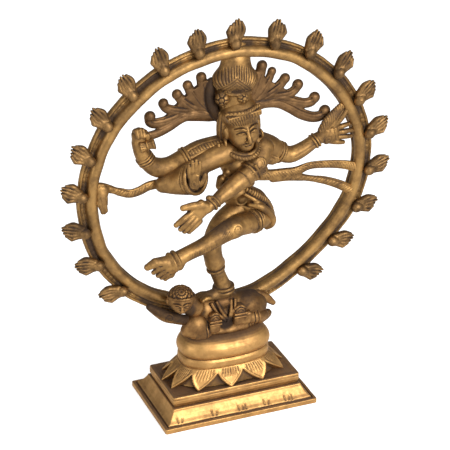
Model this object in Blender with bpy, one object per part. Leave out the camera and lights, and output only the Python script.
"""Brass nataraja statue: base, dwarf, dancing figure, hair, sashes, flame ring and its nineteen flames.

Shapes are worked out in millimetres and scaled to metres at the end. X runs to the viewer's right, the
figure faces -Y and +Z is up. Every piece is a list of round-ended tubes, balls and stacked outlines. A
piece is cut by its earlier neighbours, grown by GAP, so that two pieces always meet with that gap.
"""

import math

import bmesh
import bpy
from mathutils import Matrix, Vector

MM = 0.001
GAP = 0.32  # clearance between two pieces that touch on the real object

# --- driving dimensions, in millimetres ---------------------------------------------------------------
SLAB_HALF = (43.2, 26.2)  # lower plinth, half width and half depth
SLAB_TOP = 10.0
LIP_HEIGHT = 2.9
PLINTH_HALF = (35.9, 18.3)  # upper plinth
PLINTH_TOP = 15.7
SKIRT_TOP = 26.0
DRUM_CENTRE_X = -1.0
DRUM_HALF = (24.0, 14.0)
DRUM_TOP = 31.0
CUSHION_TOP = 43.4
STUD_RADIUS = 3.0
STUD_HOLE = STUD_RADIUS + GAP

RING_CENTRE_Z = 127.0
RING_OUTER = 80.5
RING_INNER = 70.0
RING_SQUASH = 0.9645  # height of the ring over its width
RING_LEAN = -0.0376  # forward lean, as y over z
RING_END = 175.0  # degrees from the top at which the ring's two ends stop
RING_DENT = 3.6  # how far the hand-bent ring runs inside the true circle, lower right
FLAME_ROOT = 79.6  # radius at the middle of a flame's knob
FLAME_REACH = 94.0
FLAME_UPWARD = 0.72  # a flame's angle from the vertical, as a share of its place's angle

FLAMES_PER_SIDE = 9

BRASS = (0.55, 0.36, 0.14)
BRASS_PALE = (0.66, 0.46, 0.20)
BRASS_DARK = (0.27, 0.17, 0.09)
STEEL = (0.45, 0.45, 0.46)

TUBE_SIDES = 8

HEAD = (4.6, -3.2, 158.2)
NECKLACE_CENTRE = (5.2, -4.0, 147.9)
NECKLACE_RADIUS = 9.0
NECKLACE_THICK = 1.6
NECKLACE_TILT = 26.0  # degrees, the front of the torque lower
ROSETTE_LEFT = (-6.9, -6.6, 175.2)
ROSETTE_RIGHT = (3.0, -9.2, 175.6)
HAIR_PLANE = 2.0  # y of the sheet of flying hair
HAIR_THICK = 1.3  # half its thickness

# Flying locks as (x, y, z, radius), from the scalp to the knob at the tip
LOCKS_LEFT = [
    [(-4.0, 2.6, 163.5, 3.2), (-10.6, 2.4, 171.0, 3.4), (-13.4, 2.2, 179.0, 3.0), (-14.6, 2.0, 184.6, 2.5)],
    [(-5.0, 2.6, 163.0, 3.2), (-13.5, 2.4, 168.6, 3.4), (-18.8, 2.2, 175.6, 2.9), (-21.8, 2.0, 181.4, 2.3)],
    [(-6.0, 2.6, 163.0, 3.2), (-16.5, 2.4, 167.0, 3.3), (-23.4, 2.2, 172.4, 2.7), (-27.3, 2.0, 177.4, 2.4)],
    [(-8.0, 2.5, 163.0, 3.0), (-20.5, 2.4, 166.4, 3.0), (-28.6, 2.2, 168.8, 2.7), (-34.4, 2.0, 173.6, 2.4)],
    [(-10.0, 2.4, 163.0, 2.8), (-32.0, 2.2, 164.0, 2.8), (-38.4, 2.0, 163.6, 2.7), (-41.4, 2.0, 167.6, 2.7)],
    [(-5.0, 1.6, 162.6, 2.0), (-19.4, 1.2, 165.4, 2.1), (-31.0, 1.2, 161.0, 2.2), (-43.0, 0.8, 158.0, 2.3),
     (-47.0, 0.4, 159.6, 2.3)],
]
LOCKS_RIGHT = [
    [(10.0, 2.8, 166.5, 3.2), (14.0, 2.5, 173.0, 3.5), (16.4, 2.2, 180.0, 3.1), (17.8, 2.0, 186.2, 2.6)],
    [(11.0, 2.8, 166.0, 3.2), (17.6, 2.5, 171.4, 3.3), (21.4, 2.2, 177.6, 2.4), (23.3, 2.0, 182.4, 2.1)],
    [(11.0, 2.6, 165.6, 3.1), (20.6, 2.4, 169.4, 3.2), (27.0, 2.2, 173.4, 2.8), (30.6, 2.0, 177.6, 2.5)],
    [(12.0, 2.5, 165.4, 3.0), (24.0, 2.4, 168.0, 3.0), (31.8, 2.2, 168.4, 2.8), (37.8, 2.0, 173.2, 2.7)],
    [(12.0, 2.4, 165.2, 2.8), (35.0, 2.2, 164.6, 2.8), (41.4, 2.0, 162.6, 2.7), (47.4, 2.0, 164.8, 2.8)],
    [(10.0, 1.8, 164.6, 2.3), (27.0, 1.4, 164.8, 2.5), (40.0, 1.4, 157.2, 2.9), (49.0, 1.6, 154.0, 2.9),
     (53.3, 1.6, 156.8, 2.9)],
]
# Outlines of the sheets behind the locks, as (x, z)
SHEET_LEFT = [
    (-4, 183), (-12.6, 182.6), (-17.6, 179.6), (-23.2, 175.6), (-28, 171.4), (-33.2, 166.4), (-37.6, 161.6),
    (-31, 161.0), (-24, 163.6), (-16, 164.4), (-5, 161.4),
]
SHEET_RIGHT = [
    (9, 184), (13.6, 184.4), (16.8, 182.0), (20.6, 178.6), (26, 175.0), (31.4, 171.4), (35.2, 167.0),
    (41, 160.8), (36, 160.6), (30, 163.4), (22.9, 164.4), (14.9, 162.6), (9, 163),
]


# --- shapes: each returns a bmesh in millimetres ------------------------------------------------------
def bridge(loops):
    """A closed skin through a list of equal vertex loops, with flat ends."""
    bm = bmesh.new()
    rows = [[bm.verts.new(point) for point in loop] for loop in loops]
    count = len(rows[0])
    for low, high in zip(rows, rows[1:]):
        for i in range(count):
            j = (i + 1) % count
            bm.faces.new((low[i], low[j], high[j], high[i]))
    bm.faces.new(list(reversed(rows[0])))
    bm.faces.new(rows[-1])
    bmesh.ops.recalc_face_normals(bm, faces=bm.faces)
    return bm


def smooth_path(points, radii, per_span):
    """Catmull-Rom points and radii through the given ones."""
    points = [Vector(p) for p in points]
    result = []
    for i in range(len(points) - 1):
        before = points[max(i - 1, 0)]
        after = points[min(i + 2, len(points) - 1)]
        a, b = points[i], points[i + 1]
        for k in range(per_span):
            t = k / per_span
            place = 0.5 * (
                2 * a + (b - before) * t + (2 * before - 5 * a + 4 * b - after) * t * t
                + (3 * a - before - 3 * b + after) * t * t * t
            )
            result.append((place, radii[i] + (radii[i + 1] - radii[i]) * t))
    result.append((points[-1], radii[-1]))
    return result


def tube(points, radii, grow=0.0, sides=TUBE_SIDES, flat=1.0, across=(0, 1, 0), per_span=2):
    """A tube with eased ends. flat scales its size along the across direction."""
    path = smooth_path(points, radii, per_span)
    start_way = (path[0][0] - path[1][0]).normalized()
    end_way = (path[-1][0] - path[-2][0]).normalized()
    start, end = path[0], path[-1]
    path = (
        [(start[0] + start_way * (0.42 * start[1] + grow), start[1] * 0.62)]
        + path
        + [(end[0] + end_way * (0.42 * end[1] + grow), end[1] * 0.62)]
    )
    loops = []
    for i, (place, radius) in enumerate(path):
        along = (path[min(i + 1, len(path) - 1)][0] - path[max(i - 1, 0)][0]).normalized()
        side = Vector(across).cross(along)
        if side.length < 0.2:
            side = Vector((1, 0, 0)).cross(along)
        side.normalize()
        thin = along.cross(side).normalized()
        wide = radius + grow
        narrow = radius * flat + grow
        turns = [2 * math.pi * k / sides for k in range(sides)]
        loops.append([place + side * wide * math.cos(t) + thin * narrow * math.sin(t) for t in turns])
    return bridge(loops)


def limb(points, grow=0.0, sides=TUBE_SIDES, flat=1.0, per_span=1):
    """A tube through points of (x, y, z, radius)."""
    return tube([p[:3] for p in points], [p[3] for p in points], grow, sides, flat, per_span=per_span)


def plate(outline, y_low, y_high, grow=0.0):
    """A flat plate with an (x, z) outline, between two depths."""
    turned = sum(a[0] * b[1] - b[0] * a[1] for a, b in zip(outline, outline[1:] + outline[:1]))
    loop = []
    for i, (x, z) in enumerate(outline):
        before, after = Vector(outline[i - 1]), Vector(outline[(i + 1) % len(outline)])
        along = (after - before).normalized() * (1 if turned > 0 else -1)
        loop.append((x + along.y * grow, z - along.x * grow))
    return bridge([[(x, y, z) for x, z in loop] for y in (y_low - grow, y_high + grow)])


def ball(centre, radii, grow=0.0, segments=10, rings=6):
    bm = bmesh.new()
    bmesh.ops.create_uvsphere(bm, u_segments=segments, v_segments=rings, radius=1.0)
    scale = Matrix.Diagonal([r + grow for r in radii] + [1.0])
    bmesh.ops.transform(bm, matrix=Matrix.Translation(centre) @ scale, verts=bm.verts)
    return bm


def stack(outline, levels, grow=0.0):
    """Skin through levels of (z, inset or scale), where outline(value, grow) gives each loop's (x, y)."""
    low = [(levels[0][0] - grow, levels[0][1])]
    high = [(levels[-1][0] + grow, levels[-1][1])]
    levels = low + levels[1:-1] + high
    return bridge([[(x, y, z) for x, y in outline(value, grow)] for z, value in levels])


def rounded_rectangle(half, corner, steps=3):
    """Outline function of a rectangle with round corners, inset by a value at each level."""

    def outline(inset, grow):
        hx, hy = half[0] - inset + grow, half[1] - inset + grow
        radius = min(corner, 0.4 * hy)
        points = []
        for quarter, (sx, sy) in enumerate([(1, 1), (-1, 1), (-1, -1), (1, -1)]):
            for k in range(steps + 1):
                turn = math.pi / 2 * (quarter + k / steps)
                x = sx * (hx - radius) + radius * math.cos(turn)
                y = sy * (hy - radius) + radius * math.sin(turn)
                points.append((x, y))
        return points

    return outline


def oval(half, power=2.6, centre_x=DRUM_CENTRE_X, count=28):
    """Outline function of a superellipse, scaled by a value at each level."""

    def outline(scale, grow):
        points = []
        for k in range(count):
            turn = 2 * math.pi * k / count
            c, s = math.cos(turn), math.sin(turn)
            x = math.copysign(abs(c) ** (2 / power), c) * (half[0] * scale + grow)
            y = math.copysign(abs(s) ** (2 / power), s) * (half[1] * scale + grow)
            points.append((centre_x + x, y))
        return points

    return outline


def cylinder(radius, z_low, z_high, grow=0.0, sides=20):
    def circle(_, extra):
        angles = [2 * math.pi * k / sides for k in range(sides)]
        return [((radius + extra) * math.cos(a), (radius + extra) * math.sin(a)) for a in angles]

    return stack(circle, [(z_low, 0), (z_high, 0)], grow)


# --- joining and cutting --------------------------------------------------------------------------------
def as_object(bm, name="shape"):
    mesh = bpy.data.meshes.new(name)
    bmesh.ops.triangulate(bm, faces=bm.faces)
    bm.to_mesh(mesh)
    bm.free()
    obj = bpy.data.objects.new(name, mesh)
    bpy.context.scene.collection.objects.link(obj)
    return obj


def combine(first, second, operation):
    """Applies an exact Boolean to the first object and removes the second."""
    modifier = first.modifiers.new("cut", "BOOLEAN")
    modifier.operation = operation
    modifier.solver = "EXACT"
    modifier.object = second
    graph = bpy.context.evaluated_depsgraph_get()
    mesh = bpy.data.meshes.new_from_object(first.evaluated_get(graph))
    first.modifiers.clear()
    old = first.data
    first.data = mesh
    bpy.data.meshes.remove(old)
    bpy.data.objects.remove(second)


def largest_body(bm):
    """Deletes every body but the one with the most vertices."""
    unseen = set(bm.verts)
    bodies = []
    while unseen:
        front = [unseen.pop()]
        body = set(front)
        while front:
            for edge in front.pop().link_edges:
                for vert in edge.verts:
                    if vert in unseen:
                        unseen.discard(vert)
                        body.add(vert)
                        front.append(vert)
        bodies.append(body)
    bodies.sort(key=len)
    bmesh.ops.delete(bm, geom=[v for body in bodies[:-1] for v in body], context="VERTS")


def tidy(obj):
    """Merges slivers as far as the skin stays closed, and keeps the largest body."""
    for shortest in (0.05, 0.02, 0.005, 0.0005, 0.0):
        bm = bmesh.new()
        bm.from_mesh(obj.data)
        if shortest:
            bmesh.ops.remove_doubles(bm, verts=bm.verts, dist=shortest)
            bmesh.ops.dissolve_degenerate(bm, edges=bm.edges, dist=shortest)
        bmesh.ops.triangulate(bm, faces=bm.faces)
        largest_body(bm)
        closed = all(edge.is_manifold and edge.is_contiguous for edge in bm.edges)
        if closed and all(face.calc_area() > 0.0 for face in bm.faces):
            break
        bm.free()
    else:
        raise RuntimeError(obj.name + " is not closed")
    bm.to_mesh(obj.data)
    bm.free()


def boxes_meet(a, b, margin):
    return all(a[0][k] - margin < b[1][k] and b[0][k] - margin < a[1][k] for k in range(3))


def box_of(obj):
    places = [v.co for v in obj.data.vertices]
    low = [min(p[k] for p in places) for k in range(3)]
    high = [max(p[k] for p in places) for k in range(3)]
    return low, high


def material(name, colour, roughness, metallic=1.0):
    made = bpy.data.materials.new(name)
    made.use_nodes = True
    shader = made.node_tree.nodes["Principled BSDF"]
    shader.inputs["Base Color"].default_value = (*colour, 1.0)
    shader.inputs["Roughness"].default_value = roughness
    shader.inputs["Metallic"].default_value = metallic
    return made


class Assembly:
    """Builds the pieces in order. A later piece is cut by the earlier ones that it meets."""

    def __init__(self):
        self.placed = []

    def union(self, shapes, grow):
        parts = [as_object(bm) for bm in shapes(grow)]
        first = parts[0]
        for other in parts[1:]:
            combine(first, other, "UNION")
        return first

    def add(self, name, shapes, colour=BRASS, roughness=0.32, cutters=None, apart=()):
        """shapes(grow) lists the piece's solids; cutters(0) lists what is bored out of it."""
        obj = self.union(shapes, 0.0)
        for cutter in cutters(0.0) if cutters else []:
            combine(obj, as_object(cutter), "DIFFERENCE")
        mine = box_of(obj)
        for other_name, other_shapes, box in self.placed:
            if other_name not in apart and boxes_meet(mine, box, 2 * GAP):
                combine(obj, self.union(other_shapes, GAP), "DIFFERENCE")
        tidy(obj)
        self.placed.append((name, shapes, box_of(obj)))
        obj.name = name
        obj.data.name = name
        obj.data.transform(Matrix.Scale(MM, 4))
        obj.data.shade_smooth()
        obj.data.set_sharp_from_angle(angle=math.radians(40))
        obj.data.materials.clear()
        obj.data.materials.append(material(name + "_finish", colour, roughness))
        return obj


# --- the ring ---------------------------------------------------------------------------------------------
def ring_dent(angle):
    """Inward offset of the ring at an angle from the top, clockwise seen from the front."""
    off = (math.degrees(angle) - 138.0) / 24.0
    return RING_DENT * math.exp(-off * off)


def ring_point(angle, radius, y):
    """A point at a radius and a depth y from the ring's own leaning plane."""
    reach = radius - ring_dent(angle)
    x = reach * math.sin(angle)
    z = reach * math.cos(angle) * RING_SQUASH
    return Vector((x, y + RING_LEAN * z, RING_CENTRE_Z + z))


def ring_shapes(grow, steps=54):
    """A round bead on the inner side and a recessed flange round it, swept nearly all the way round."""
    middle = (75.2, -0.2)  # middle of the section, as radius and depth
    profile = [
        (RING_INNER, -1.2), (70.9, -3.2), (72.6, -4.1), (74.6, -3.8), (76.2, -1.6), (79.4, -1.5),
        (RING_OUTER, -0.4), (80.0, 2.4), (77.5, 3.4), (72.8, 3.4), (70.2, 2.0),
    ]
    loops = []
    end = math.radians(RING_END) + grow / RING_OUTER
    for k in range(steps + 1):
        angle = -end + 2 * end * k / steps
        loop = []
        for radius, y in profile:
            away = Vector((radius - middle[0], y - middle[1])).normalized() * grow * 1.15
            loop.append(ring_point(angle, radius + away.x, y + away.y))
        loops.append(loop)
    return [bridge(loops)]


def flame_angle(index):
    """Angle of a flame from the top, in degrees. The hand-set spacing widens slowly down each side."""
    steps = abs(index)
    if index >= 0:
        return 15.37 * steps + 0.0091 * steps**3
    return -(13.95 * steps + 0.0103 * steps**3)


def flame_body(root, out, side, grow):
    """A flat hand of three pointed tongues, as layers of one outline seen from the front."""
    length = FLAME_REACH - FLAME_ROOT
    half = [
        (-0.07, 0.15), (0.31, 0.20), (0.59, 0.33), (0.90, 0.34), (0.68, 0.13),
    ]  # right half of the outline along and across the flame, as shares of its length
    outline = half + [(1.0, 0.0)] + [(along, -across) for along, across in reversed(half)]
    thick = Vector((0, 1, 0))
    loops = []
    for y, scale in ((-2.6, 0.72), (-1.2, 0.96), (0.9, 1.0), (2.4, 0.74)):
        loop = []
        for along, across in outline:
            reach = length * (0.4 + (along - 0.4) * scale)
            loop.append(root + out * reach + side * across * length * scale + thick * (1.6 + y))
        loops.append(loop)
    return bridge(loops)


def flame_shapes(index):
    """A round knob on the ring with a hand of pointed tongues that lean towards the top."""

    def shapes(grow):
        angle = math.radians(flame_angle(index))
        lean = angle * FLAME_UPWARD
        root = ring_point(angle, FLAME_ROOT, -3.6)
        out = Vector((math.sin(lean), RING_LEAN * math.cos(lean), math.cos(lean))).normalized()
        side = out.cross(Vector((0, 1, 0))).normalized()
        return [ball(root, (3.1, 2.8, 3.1), grow, 8, 5), flame_body(root, out, side, grow)]

    return shapes


# --- base -------------------------------------------------------------------------------------------------
def lower_plinth(grow):
    levels = [
        (0.0, 0.0), (LIP_HEIGHT, 0.0), (LIP_HEIGHT + 0.01, 1.3), (2.2, 1.9), (3.3, 2.7),
        (6.2, 5.4), (8.6, 6.9), (SLAB_TOP - GAP, 7.3),
    ]
    return [stack(rounded_rectangle(SLAB_HALF, 1.2), levels, grow)]


def plinth_hollow(_):
    levels = [(-1.0, 3.2), (3.0, 6.4), (7.9, 11.5)]
    return [
        stack(rounded_rectangle(SLAB_HALF, 2.0), levels),
        cylinder(STUD_HOLE, 5.0, 12.0),
    ]


def upper_plinth(grow):
    levels = [(SLAB_TOP, 0.8), (11.2, 0.8), (11.6, 0.0), (14.3, 0.0), (14.5, 0.4), (14.9, 0.0), (PLINTH_TOP, 0.3)]
    return [stack(rounded_rectangle(PLINTH_HALF, 1.4), levels, grow)]


def petal_outline(share, grow):
    """Twelve pointed petals at the foot (share 0) that fade into the drum's oval (share 1)."""
    inner = oval((27.6, 14.6), count=48)(1.0, grow)
    outer = oval((34.4, 17.9), count=48)(1.0, grow)
    top = oval(DRUM_HALF, count=48)(1.0, grow)
    points = []
    for k in range(48):
        point = abs((k % 4) - 2) / 2.0  # 0 between two petals, 1 on a tip
        x = inner[k][0] + (outer[k][0] - inner[k][0]) * point
        y = inner[k][1] + (outer[k][1] - inner[k][1]) * point
        points.append((x + (top[k][0] - x) * share, y + (top[k][1] - y) * share))
    return points


def lotus_skirt(grow):
    levels = [(PLINTH_TOP + GAP, 0.0), (PLINTH_TOP + 1.8, 0.12), (21.5, 0.52), (SKIRT_TOP - GAP, 0.98)]
    return [stack(petal_outline, levels, grow)]


def drum(grow):
    levels = [(SKIRT_TOP, 1.0), (27.5, 1.015), (DRUM_TOP - GAP, 1.0)]
    return [stack(oval(DRUM_HALF), levels, grow)]


def cushion(grow):
    levels = [
        (DRUM_TOP, 0.96), (31.8, 1.01), (33.4, 1.045), (35.6, 1.055), (38.2, 1.015), (40.6, 0.92), (42.3, 0.76),
        (CUSHION_TOP, 0.5),
    ]
    return [stack(oval(DRUM_HALF), levels, grow)]


def stud_bore(z_low, z_high):
    return lambda _: [cylinder(STUD_HOLE, z_low, z_high)]


# --- the dwarf under the figure's foot ----------------------------------------------------------------------
def dwarf_body(grow):
    return [
        ball((0.0, -0.6, 52.4), (22.0, 9.0, 9.8), grow, 14, 8),
        ball((-13.0, -2.0, 56.0), (10.0, 7.6, 8.4), grow),
        ball((11.0, -2.6, 53.8), (11.0, 7.4, 8.8), grow),
        ball((-4.0, -3.2, 60.6), (9.0, 6.0, 4.4), grow),
    ]


def dwarf_knees(grow):
    return [
        limb([(3.4, -9.4, 57.4, 3.4), (3.4, -9.6, 50.4, 4.0)], grow),
        limb([(-10.8, -9.8, 55.8, 3.0), (-10.8, -10.0, 48.8, 3.6)], grow),
        ball((-19.6, -7.4, 51.0), (6.6, 5.8, 6.6), grow),
        limb([(-19.6, -9.0, 48.4, 3.4), (-10.8, -10.0, 47.8, 3.2), (3.4, -9.6, 49.6, 3.2)], grow),
        limb([(3.4, -9.4, 50.4, 3.4), (12.0, -8.6, 50.0, 3.6), (18.6, -6.4, 48.6, 3.2)], grow),
    ]


def dwarf_head(grow):
    return [
        ball((-28.4, -8.4, 68.8), (7.0, 7.0, 6.6), grow, 12, 7),
        limb([(-25.6, -6.6, 65.4, 4.8), (-19.6, -4.6, 60.2, 5.4)], grow),
    ]


def dwarf_arm(grow):
    return [
        limb([(-21.0, -5.0, 53.0, 3.4), (-26.0, -6.4, 54.6, 2.8), (-30.6, -7.0, 56.8, 3.0), (-36.2, -6.6, 59.2, 3.2),
              (-40.8, -5.2, 62.2, 2.5), (-44.0, -4.0, 64.6, 1.8)], grow),
    ]


def dwarf_foot(grow):
    return [
        limb([(17.0, -5.4, 47.4, 3.8), (20.0, -4.8, 47.6, 3.2), (22.4, -4.4, 48.0, 2.2)], grow),
        limb([(17.0, -2.4, 58.0, 3.8), (22.0, -2.4, 56.0, 2.6), (26.0, -3.0, 52.6, 1.5)], grow),
        limb([(21.4, -4.2, 48.4, 2.0), (21.6, -3.4, 52.4, 1.8), (22.0, -2.6, 56.0, 2.0)], grow),
    ]


# --- the figure -----------------------------------------------------------------------------------------------
def hips(grow):
    return [
        ball((13.0, -1.2, 109.4), (9.8, 7.8, 10.0), grow, 12, 7),
        limb([(5.6, -0.4, 119.6, 6.9), (12.0, -0.8, 113.0, 8.4)], grow, flat=0.9),
        limb([(8.6, -8.0, 116.4, 1.8), (13.3, -10.0, 115.0, 2.2), (18.2, -9.6, 111.0, 2.4), (21.4, -7.6, 104.0, 2.2)],
             grow),
    ]


def torso(grow):
    return [
        limb([(4.8, -0.6, 117.5, 6.8), (5.2, -0.4, 123.0, 6.8), (6.6, -0.2, 129.0, 8.4)], grow, 10, 0.88, 2),
        ball((8.4, 0.0, 136.5), (13.4, 7.6, 8.8), grow, 14, 8),
        ball((8.0, -3.4, 136.8), (9.8, 4.8, 4.8), grow),
        limb([(-5.4, 0.8, 145.0, 5.6), (7.6, 1.0, 145.6, 6.0), (20.6, 0.6, 142.4, 5.6)], grow, 10),
    ]


def necklace(grow):
    """A thick torque that slopes down over the chest."""
    tilt = Matrix.Rotation(math.radians(NECKLACE_TILT), 3, "X")
    bm = bmesh.new()
    count, sides = 20, 7
    rows = []
    for k in range(count):
        turn = 2 * math.pi * k / count
        out = tilt @ Vector((math.cos(turn), math.sin(turn), 0.0))
        high = tilt @ Vector((0.0, 0.0, 1.0))
        centre = Vector(NECKLACE_CENTRE) + NECKLACE_RADIUS * out
        angles = [2 * math.pi * side / sides for side in range(sides)]
        width = NECKLACE_THICK + grow
        rows.append([bm.verts.new(centre + width * (out * math.cos(a) + high * math.sin(a))) for a in angles])
    for k in range(count):
        for side in range(sides):
            n, t = (k + 1) % count, (side + 1) % sides
            bm.faces.new((rows[k][side], rows[k][t], rows[n][t], rows[n][side]))
    bmesh.ops.recalc_face_normals(bm, faces=bm.faces)
    return [bm]


def head(grow):
    return [
        ball(HEAD, (9.2, 9.2, 12.2), grow, 12, 8),
        ball((4.4, -8.2, 155.6), (6.2, 4.6, 8.2), grow),
        ball((5.0, 0.0, 153.6), (10.8, 6.0, 10.0), grow),
        limb([(-6.4, -10.8, 166.6, 2.4), (11.0, -10.8, 169.0, 2.4)], grow),
        limb([(6.4, -2.4, 150.0, 5.8), (7.2, -1.2, 142.0, 6.4)], grow),
    ]


def crown(grow):
    return [
        limb([(3.0, -1.4, 169.6, 8.9), (2.0, -0.8, 174.0, 8.4), (2.2, -0.4, 178.4, 9.8), (2.3, -0.4, 182.6, 11.7),
              (2.3, -0.6, 187.4, 9.8), (2.4, -0.9, 192.4, 7.5), (2.4, -0.8, 197.2, 6.8)], grow, 12, 0.76),
    ]


def rosette(centre, facing, radius):
    def shapes(grow):
        way = Vector(facing).normalized()
        ends = [Vector(centre) - 3.4 * way, Vector(centre) + 1.0 * way]
        return [tube(ends, (radius, radius), grow, 10, per_span=1)]

    return shapes


def hair(locks, sheet):
    """A sheet of hair with rounded locks along its upper edge."""

    def shapes(grow):
        slab = plate(sheet, HAIR_PLANE - HAIR_THICK, HAIR_PLANE + HAIR_THICK, grow)
        return [slab] + [limb(points, grow, 6, 0.7) for points in locks]

    return shapes


def rear_arm_left(grow):
    return [
        limb([(-5.0, 1.2, 145.8, 6.2), (-15.1, 1.2, 144.9, 6.0), (-23.1, 1.2, 141.8, 5.8), (-31.1, 1.0, 139.6, 5.1),
              (-37.5, 1.0, 140.0, 5.0), (-42.4, 0.8, 143.4, 4.3), (-46.2, 0.3, 149.2, 3.8), (-48.2, 0.0, 154.6, 3.4)],
             grow),
        limb([(-48.2, -0.4, 155.0, 3.6), (-47.6, -1.2, 162.2, 3.0)], grow),
    ]


def drum_in_hand(grow):
    return [
        limb([(-47.7, -3.0, 154.4, 2.9), (-44.8, -4.0, 155.4, 2.2), (-41.9, -5.0, 156.4, 2.9)], grow, 10),
    ]


def rear_arm_right(grow):
    return [
        limb([(13.5, 0.2, 146.4, 6.2), (22.0, 0.6, 142.6, 5.8), (27.6, 0.4, 138.8, 4.9), (33.6, -0.2, 136.2, 4.4),
              (40.2, -0.6, 138.0, 3.9), (48.5, -0.8, 142.8, 3.3)], grow),
        limb([(49.0, -1.2, 143.2, 3.4), (55.4, -2.0, 144.8, 4.6), (60.0, -2.2, 144.8, 3.8)], grow, flat=0.7),
        limb([(58.6, -2.2, 145.0, 3.6), (67.4, -2.0, 144.6, 2.0)], grow, flat=0.8),
    ]


def hand_flame(grow):
    return [
        limb([(51.6, -1.8, 147.4, 3.4), (54.6, -2.0, 152.4, 3.6), (58.6, -2.2, 157.0, 2.9), (62.4, -2.2, 161.4, 1.9)],
             grow, flat=0.62),
        limb([(56.8, -2.8, 149.6, 1.6), (59.8, -3.2, 152.6, 1.6), (62.4, -3.2, 156.0, 1.5), (64.4, -2.8, 159.2, 1.2)],
             grow, 6),
    ]


def abhaya_arm(grow):
    """Upper arm, flared sleeve and raised open hand."""
    return [
        limb([(-3.0, -3.0, 144.6, 6.2), (-12.0, -3.8, 142.4, 5.8), (-22.0, -4.0, 138.6, 5.2), (-31.0, -3.4, 134.6, 4.6),
              (-36.2, -3.0, 132.2, 3.9)], grow),
        limb([(-36.0, -3.2, 132.0, 3.9), (-31.4, -4.8, 132.6, 5.2), (-26.6, -7.0, 134.4, 7.0), (-22.6, -9.2, 136.4, 8.4)],
             grow, 10),
        limb([(-24.0, -11.6, 134.0, 3.4), (-24.0, -13.0, 140.0, 3.3)], grow, flat=0.7),
        limb([(-24.0, -13.0, 139.0, 3.2), (-24.2, -14.0, 147.4, 2.2)], grow, flat=0.6),
        limb([(-21.4, -12.6, 134.6, 1.6), (-18.9, -14.9, 139.8, 1.2)], grow, 6),
    ]


def gaja_arm(grow):
    return [
        limb([(17.0, -3.6, 144.0, 5.8), (13.0, -6.8, 139.8, 5.8), (7.0, -10.0, 134.6, 5.2), (0.2, -12.0, 131.4, 4.6),
              (-7.0, -14.0, 128.0, 3.9), (-12.4, -15.5, 125.3, 3.2), (-17.0, -16.5, 123.2, 2.9)], grow),
        limb([(-17.0, -16.6, 123.2, 3.2), (-23.0, -17.4, 121.6, 4.6), (-28.0, -17.9, 118.4, 4.4)], grow, flat=0.6),
        limb([(-27.0, -17.9, 119.0, 4.2), (-32.0, -18.4, 114.6, 2.8)], grow, flat=0.5),
        limb([(-19.6, -17.4, 124.4, 2.2), (-31.4, -17.8, 125.2, 1.6)], grow, 6),
    ]


def standing_leg(grow):
    return [
        limb([(9.7, -0.4, 112.4, 5.8), (-2.0, -3.6, 108.4, 5.3), (-8.1, -5.6, 103.3, 5.0), (-10.7, -6.0, 94.6, 4.9),
              (-8.9, -5.0, 84.5, 4.7), (-6.8, -4.5, 78.0, 4.1), (-4.4, -4.0, 72.0, 4.1), (-2.8, -4.0, 67.2, 5.0)], grow),
        limb([(-2.6, -3.8, 65.8, 4.4), (-8.2, -5.0, 65.4, 3.6), (-13.2, -5.6, 65.6, 3.6), (-17.8, -6.2, 65.4, 2.6)],
             grow),
    ]


def lifted_leg(grow):
    return [
        limb([(17.6, -4.0, 106.6, 6.6), (8.7, -9.0, 106.5, 6.0), (-0.7, -13.0, 107.4, 5.6), (-10.5, -15.5, 105.2, 4.8),
              (-18.9, -16.5, 101.8, 4.2), (-26.1, -17.0, 99.8, 3.9), (-32.7, -17.5, 97.8, 4.0), (-37.0, -18.0, 96.6, 4.2)],
             grow),
        limb([(-36.0, -18.0, 96.6, 4.2), (-42.4, -18.4, 94.8, 5.6), (-46.0, -18.6, 92.8, 4.2)], grow, flat=0.62),
        limb([(-42.0, -19.2, 97.6, 2.8), (-50.4, -19.2, 96.6, 2.2)], grow),
    ]


def sash_left(grow):
    return [
        limb([(-33.6, 0.6, 131.2, 2.7), (-42.1, 0.6, 131.0, 2.5), (-47.4, 0.4, 129.2, 2.4), (-52.6, 0.2, 128.6, 2.3),
              (-57.9, 0.0, 130.5, 2.2), (-63.1, -0.4, 133.0, 2.2), (-68.0, -0.8, 134.8, 2.8), (-72.6, -1.0, 135.2, 3.3)],
             grow, flat=0.66),
        limb([(-67.6, -1.8, 133.2, 3.2), (-68.2, -3.0, 128.6, 3.0), (-67.6, -3.6, 123.6, 2.2)], grow, flat=0.5),
    ]


def sash_right(grow):
    return [
        limb([(14.0, -3.4, 129.6, 3.2), (22.0, -2.8, 127.8, 3.0), (29.6, -2.4, 127.2, 2.9), (36.9, -2.0, 127.0, 2.6),
              (44.9, -1.5, 128.7, 2.1), (56.3, -1.5, 127.7, 2.2), (66.0, -1.4, 125.6, 2.5), (73.0, -1.0, 122.8, 3.0)],
             grow, flat=0.66),
        limb([(24.0, -2.6, 126.0, 2.8), (31.0, -2.2, 125.2, 2.6), (37.6, -2.0, 123.7, 2.2), (45.2, -1.6, 121.5, 2.0),
              (53.9, -1.5, 118.8, 2.2), (62.7, -1.4, 114.8, 2.5), (69.6, -1.4, 110.4, 2.7)], grow, flat=0.66),
    ]


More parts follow.
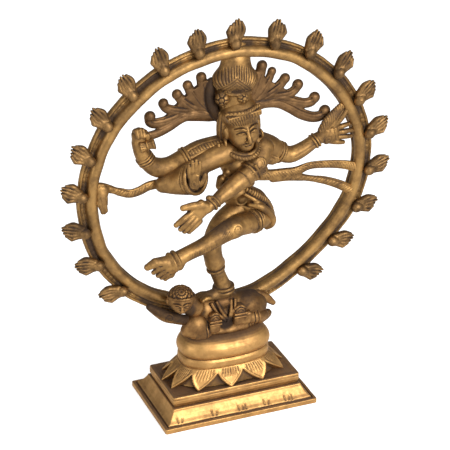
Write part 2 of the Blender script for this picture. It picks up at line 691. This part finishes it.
def build():
    for old in list(bpy.data.objects):
        bpy.data.objects.remove(old)
    kit = Assembly()
    kit.add("lower_plinth", lower_plinth, cutters=plinth_hollow)
    kit.add("upper_plinth", upper_plinth, cutters=stud_bore(5.0, 20.0), apart=("lower_plinth",))
    kit.add("lotus_skirt", lotus_skirt, cutters=stud_bore(10.0, 30.0), apart=("upper_plinth",))
    kit.add("pedestal_drum", drum, cutters=stud_bore(20.0, 40.0), apart=("lotus_skirt",))
    kit.add("pedestal_cushion", cushion, cutters=stud_bore(20.0, 37.0), apart=("pedestal_drum",))

    kit.placed, outside = [], kit.placed
    kit.add("tie_stud", lambda g: [cylinder(STUD_RADIUS, 1.0, 36.5, g)], STEEL, 0.35)
    kit.add("tie_washer", lambda g: [cylinder(8.0, 6.2, 7.6, g)], STEEL, 0.4, cutters=stud_bore(0.0, 20.0))
    kit.add("tie_nut", lambda g: [cylinder(5.77, 2.0, 5.9, g, 6)], STEEL, 0.4, cutters=stud_bore(0.0, 20.0))
    kit.placed = outside

    kit.add("ring", ring_shapes)
    kit.add("dwarf_body", dwarf_body)
    kit.add("dwarf_knees", dwarf_knees)
    kit.add("dwarf_head", dwarf_head)
    kit.add("dwarf_arm", dwarf_arm)
    kit.add("dwarf_foot", dwarf_foot)

    kit.add("torso", torso)
    kit.add("hips", hips)
    kit.add("necklace", necklace)
    kit.add("head", head)
    kit.add("crown", crown)
    kit.add("rosette_left", rosette(ROSETTE_LEFT, (-0.5, -0.86, 0.05), 3.4))
    kit.add("rosette_right", rosette(ROSETTE_RIGHT, (0.1, -1.0, 0.05), 3.0))
    kit.add("hair_left", hair(LOCKS_LEFT, SHEET_LEFT), BRASS_DARK, 0.5)
    kit.add("hair_right", hair(LOCKS_RIGHT, SHEET_RIGHT), BRASS_DARK, 0.5)
    kit.add("rear_arm_left", rear_arm_left)
    kit.add("drum_in_hand", drum_in_hand)
    kit.add("rear_arm_right", rear_arm_right)
    kit.add("hand_flame", hand_flame)
    kit.add("abhaya_arm", abhaya_arm)
    kit.add("gaja_arm", gaja_arm)
    kit.add("lifted_leg", lifted_leg)
    kit.add("standing_leg", standing_leg)
    kit.add("sash_left", sash_left)
    kit.add("sash_right", sash_right)
    for index in range(-FLAMES_PER_SIDE, FLAMES_PER_SIDE + 1):
        number = index + FLAMES_PER_SIDE + 1
        kit.add(f"flame_{number:02d}", flame_shapes(index), BRASS_PALE, 0.3)


build()
